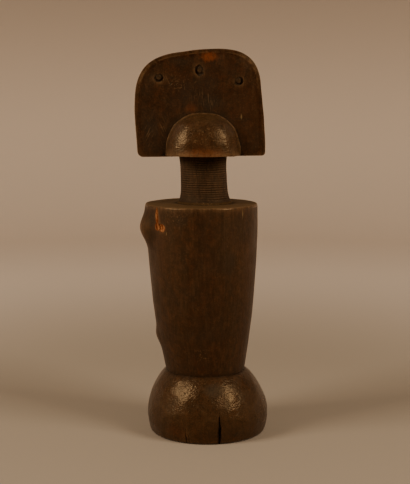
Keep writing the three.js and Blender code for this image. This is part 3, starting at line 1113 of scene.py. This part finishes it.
    for centre, reach, share in (
        ((19.4, -22.4, 129.0), (0.45, 4.0, 3.6), 0.75),
        ((-22.9, -24.6, 118.2), (0.4, 2.5, 1.4), 1.0),
    ):
        scratched = either(scratched, shared(spot_at(centre, reach, 0.9, 0.8), share))
    for centre in ((-27.5, -5.0, 204.0), (-4.6, -5.0, 208.2), (17.5, -5.0, 202.2)):
        wood = mix(tree, shared(spot_at(centre, (2.7, 2.0, 2.7), 0.9, 0.4), 0.62), wood, soot)
    wood = mix(tree, shared(scratched, 0.7), wood, rgba(colours.scratch))

    chips = (
        spot_at((-28.5, -20.4, 127.6), (1.5, 1.5, 5.9)),
        spot_at((-25.4, -22.8, 121.2), (3.3, 3.0, 2.6)),
        spot_at((-28.0, -20.3, 121.8), (2.2, 2.2, 2.7)),
    )
    chipped = chips[0]
    for chip in chips[1:]:
        chipped = either(chipped, chip)
    splintered = ramp(tree, cloudy(tree, stretched(tree, place, (1.0, 1.0, 0.45)), 0.9, 3.0), 0.42, 0.62)
    fresh = mix(
        tree, maths(tree, "MULTIPLY", chipped, splintered), (0.17, 0.034, 0.007, 1.0), rgba(colours.bare)
    )
    wood = mix(tree, chipped, wood, fresh)

    height = maths(tree, "MULTIPLY", scoops["Height"], ramp(tree, scooped, 0.0, 1.0, 0.12, 1.0))
    carved = add_node(tree, "ShaderNodeBump", {"Height": height, "Strength": 0.62, "Distance": 0.00017})
    lines = maths(tree, "ADD", shared(grain["Fibres"], 0.6), shared(grain["Pores"], -0.3))
    lines = maths(tree, "ADD", lines, shared(cloudy(tree, place, 0.6, 2.0), 0.9))
    finish = add_node(
        tree, "ShaderNodeBump",
        {"Height": lines, "Strength": 0.7, "Distance": 0.00014, "Normal": carved.outputs[0]},
    )

    shoulder_rim = maths(tree, "MULTIPLY", ramp(tree, z, 131.2, 132.0), ramp(tree, z, 133.2, 132.9, 0.0, 1.0))
    polished = either(either(scooped, shoulder_rim), ramp(tree, from_edge, 4.5, 2.5, 0.0, 1.0))
    roughness = ramp(tree, polished, 0.0, 1.0, colours.matt, colours.gloss)
    for mask, share in (
        (patina["Blotches"], 0.10), (hollow, 0.2), (painted_neck_shadow, 0.3),
        (neck_foot_darkening, 0.2), (on_shoulder, 0.4), (on_neck, 0.2),
    ):
        roughness = maths(tree, "MULTIPLY_ADD", mask, share, roughness)
    jaw = maths(tree, "MULTIPLY", ramp(tree, z, 165.5, 162.5, 0.0, 1.0), ramp(tree, z, 150.0, 155.0))
    dull = either(spot_at((4.0, -30.0, 31.0), (8.0, 6.0, 5.0), 0.6, 0.3), jaw)
    roughness = maths(tree, "MULTIPLY_ADD", maths(tree, "MULTIPLY", dull, scooped), 0.22, roughness)
    roughness = maths(tree, "MULTIPLY_ADD", chipped, 0.3, roughness, clamp=True)
    shader = add_node(
        tree, "ShaderNodeBsdfPrincipled",
        {
            "Base Color": wood, "Roughness": roughness, "Normal": finish.outputs[0],
            "Specular IOR Level": 0.42, "Specular Tint": (1.0, 0.65, 0.31, 1.0),
        },
    )
    add_node(tree, "ShaderNodeOutputMaterial", {"Surface": shader.outputs[0]})
    return material


def backdrop_material(stage):
    """Pale paint with painted light and shade: darker close round the figure, above it and on the camera's
    side, and lighter further off, where the lamps' light falls off.
    """
    material = bpy.data.materials.new("plain_backdrop")
    material.use_nodes = True
    tree = material.node_tree
    tree.nodes.clear()
    place = add_node(tree, "ShaderNodeTexCoord").outputs["Object"]
    away = add_node(tree, "ShaderNodeVectorMath", {0: place}, operation="LENGTH").outputs["Value"]
    height = add_node(tree, "ShaderNodeSeparateXYZ", {0: place}).outputs["Z"]
    # Painted shade near the figure and painted light further off: the floor is darker close round it and much
    # lighter where it curves up.
    paint = mix(tree, ramp(tree, away, 0.16, 0.62), rgba(stage.floor), rgba(stage.wall))
    # Painted shade above the figure's head.
    paint = mix(tree, ramp(tree, height, 0.08, 0.42), paint, rgba(stage.top))
    ahead = add_node(tree, "ShaderNodeSeparateXYZ", {0: place}).outputs["Y"]
    # Painted shade: the backdrop is dark on the camera's side, as an unlit room would be.
    paint = mix(tree, ramp(tree, ahead, -0.80, -0.22, 1.0, 0.0), paint, rgba(stage.front))
    shader = add_node(tree, "ShaderNodeBsdfPrincipled", {"Base Color": paint, "Roughness": 0.85})
    shader.inputs["Specular IOR Level"].default_value = 0.2
    add_node(tree, "ShaderNodeOutputMaterial", {"Surface": shader.outputs[0]})
    return material


# Operators

class DOLL_OT_figure(bpy.types.Operator):
    """Carve the whole figure as one piece of wood"""

    bl_idname = "doll.figure"
    bl_label = "Carve figure"

    def execute(self, context):
        sizes, colours, _ = settings()
        figure = foot_form(sizes)
        for make in (body_form, neck_form, head_form, crest_form):
            combine(figure, make(sizes), "UNION")
        cut_marks(figure, sizes)
        drop_flakes(figure)
        figure.name = "figure_in_wood"
        figure.data.name = "figure_in_wood"
        pick(figure)
        bpy.ops.object.shade_smooth_by_angle(angle=math.radians(38))
        measure_wear(figure, sizes)
        figure.data.materials.clear()
        figure.data.materials.append(figure_material(colours))
        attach(figure, "root")
        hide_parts("carved_figure")
        return {"FINISHED"}


class DOLL_OT_stage(bpy.types.Operator):
    """Set the plain floor, the soft lights and the camera"""

    bl_idname = "doll.stage"
    bl_label = "Set stage"

    def execute(self, context):
        _, _, stage = settings()
        curl = [
            (0.85 + 0.4 * math.sin(turn), 0.4 - 0.4 * math.cos(turn))
            for turn in steps(0, math.pi / 2, 0.2)
        ]
        backdrop = turned("backdrop", [(0, 0), (0.4, 0), *curl, (1.27, 0.95)], 96)
        backdrop.data.materials.append(backdrop_material(stage))
        pick(backdrop)
        bpy.ops.object.shade_smooth()
        for name, azimuth, elevation, power in (("left", -63, 32, 1.0), ("right", 57, 34, 0.88)):
            turn, rise, distance = math.radians(azimuth), math.radians(elevation), 1.1
            place = Vector((
                distance * math.sin(turn) * math.cos(rise),
                -distance * math.cos(turn) * math.cos(rise),
                distance * math.sin(rise) + 0.1,
            ))
            bpy.ops.object.light_add(type="AREA", location=place)
            lamp = context.object
            lamp.name = "soft_light_" + name
            lamp.rotation_euler = (Vector((0, 0, 0.1)) - place).to_track_quat("-Z", "Y").to_euler()
            lamp.data.shape = "RECTANGLE"
            lamp.data.size = 0.42
            lamp.data.size_y = 0.56
            lamp.data.energy = stage.power * power
            lamp.data.color = stage.light
            lamp.visible_camera = False
        world = bpy.data.worlds.new("soft_fill")
        context.scene.world = world
        world.use_nodes = True
        background = world.node_tree.nodes["Background"]
        background.inputs["Color"].default_value = rgba(stage.light)
        background.inputs["Strength"].default_value = stage.fill
        camera_data = bpy.data.cameras.new("camera")
        camera_data.lens = stage.lens
        camera = bpy.data.objects.new("camera", camera_data)
        context.scene.collection.objects.link(camera)
        camera.location = (stage.camera_x, -stage.camera_y, stage.camera_z)
        camera.rotation_euler = (math.pi / 2 - stage.camera_down, 0, 0)
        context.scene.camera = camera
        return {"FINISHED"}


class DOLL_PT_panel(bpy.types.Panel):
    """Sizes, colours and the steps that make the doll"""

    bl_idname = "DOLL_PT_panel"
    bl_label = "Carved Doll"
    bl_space_type = "VIEW_3D"
    bl_region_type = "UI"
    bl_category = PANEL_TAB

    def draw(self, context):
        for group in settings():
            box = self.layout.box()
            for name in group.bl_rna.properties.keys():
                if name not in ("name", "rna_type"):
                    box.prop(group, name)
        for step in (DOLL_OT_figure, DOLL_OT_stage):
            self.layout.operator(step.bl_idname)


CLASSES = (FigureSizes, FigureColours, StageSettings, DOLL_OT_figure, DOLL_OT_stage, DOLL_PT_panel)


def register():
    for kind in CLASSES:
        bpy.utils.register_class(kind)
    bpy.types.Scene.doll_sizes = bpy.props.PointerProperty(type=FigureSizes)
    bpy.types.Scene.doll_colours = bpy.props.PointerProperty(type=FigureColours)
    bpy.types.Scene.doll_stage = bpy.props.PointerProperty(type=StageSettings)


def unregister():
    del bpy.types.Scene.doll_stage
    del bpy.types.Scene.doll_colours
    del bpy.types.Scene.doll_sizes
    for kind in reversed(CLASSES):
        bpy.utils.unregister_class(kind)


def main():
    register()
    bpy.ops.doll.figure()
    bpy.ops.doll.stage()


if __name__ == "__main__":
    main()
